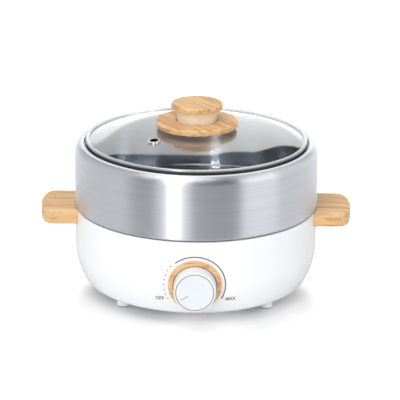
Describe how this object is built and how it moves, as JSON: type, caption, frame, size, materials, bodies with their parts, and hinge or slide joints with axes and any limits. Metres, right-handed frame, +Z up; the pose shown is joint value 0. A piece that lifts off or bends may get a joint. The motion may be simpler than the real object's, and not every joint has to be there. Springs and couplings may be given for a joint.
{
  "type": "electric skillet",
  "caption": "Round electric skillet with a white base, brushed steel lift-out pot, lift-off glass lid and wooden handles, knob and dial ring.",
  "frame": {"origin": "on the floor under the middle of the pot", "axes": "+Z up along the pot's axis, -Y towards the dial, +X towards the right-hand handle seen from the front"},
  "size_m": [0.3074, 0.2734, 0.1892],
  "materials": {
    "base_white": "gloss",
    "knob_white": "satin",
    "wood": "satin",
    "pale_wood": "satin",
    "brushed_steel": "brushed",
    "polished_steel": "polished",
    "glass": "clear",
    "rubber": "matte",
    "zinc_steel": "satin",
    "liner_metal": "satin",
    "plate_metal": "matte",
    "sheath_steel": "matte",
    "ceramic": "matte",
    "brass": "satin",
    "copper": "satin",
    "case_grey": "matte",
    "inlet_black": "matte",
    "mark_grey": "matte",
    "wire_brown": "matte",
    "wire_red": "matte",
    "wire_blue": "matte",
    "wire_green": "matte"
  },
  "bodies": {
    "base": {"base_shell": "base_white", "bottom_cover": "base_white", "cover_screws": "zinc_steel", "foot_pads": "rubber", "handle_left": "wood", "handle_right": "wood", "handle_screws": "zinc_steel", "dial_bezel": "wood", "well_liner": "liner_metal", "liner_screws": "zinc_steel", "heating_plate": "plate_metal", "heating_element": "sheath_steel", "element_bushings": "ceramic", "plate_spacers": "ceramic", "plate_screws": "zinc_steel", "thermostat_case": "case_grey", "thermostat_tabs": "brass", "thermostat_screws": "zinc_steel", "sensing_bulb": "copper", "bulb_clip": "zinc_steel", "thermal_fuse": "ceramic", "fuse_clip": "zinc_steel", "power_inlet": "inlet_black", "inlet_pins": "brass", "inlet_screws": "zinc_steel", "live_lead": "wire_brown", "switched_lead": "wire_red", "fuse_link": "wire_red", "neutral_lead": "wire_blue", "earth_lead": "wire_green", "earth_screw": "brass"},
    "dial": {"thermostat_spindle": "zinc_steel", "dial_knob": "knob_white", "dial_face": "knob_white", "dial_pointer": "mark_grey", "knob_spring": "zinc_steel"},
    "pot": {"pot": "brushed_steel"},
    "lid": {"lid_glass": "glass", "lid_rim": "polished_steel", "vent_grommet": "polished_steel", "knob_base": "wood", "knob_neck": "pale_wood", "knob_cap": "wood", "knob_screw": "zinc_steel", "knob_washer": "zinc_steel", "knob_seals": "rubber", "knob_insert": "brass"}
  },
  "joints": [
    {"name": "dial_turn", "type": "hinge", "parent": "base", "child": "dial", "pos_m": [0, -0.116, 0.0425], "axis": [0, 1, 0], "range_deg": [0, 240]},
    {"name": "pot_lift", "type": "slide", "parent": "base", "child": "pot", "axis": [0, 0, 1], "range_m": [0, 0.1]},
    {"name": "lid_lift", "type": "slide", "parent": "pot", "child": "lid", "axis": [0, 0, 1], "range_m": [0, 0.15]}
  ]
}
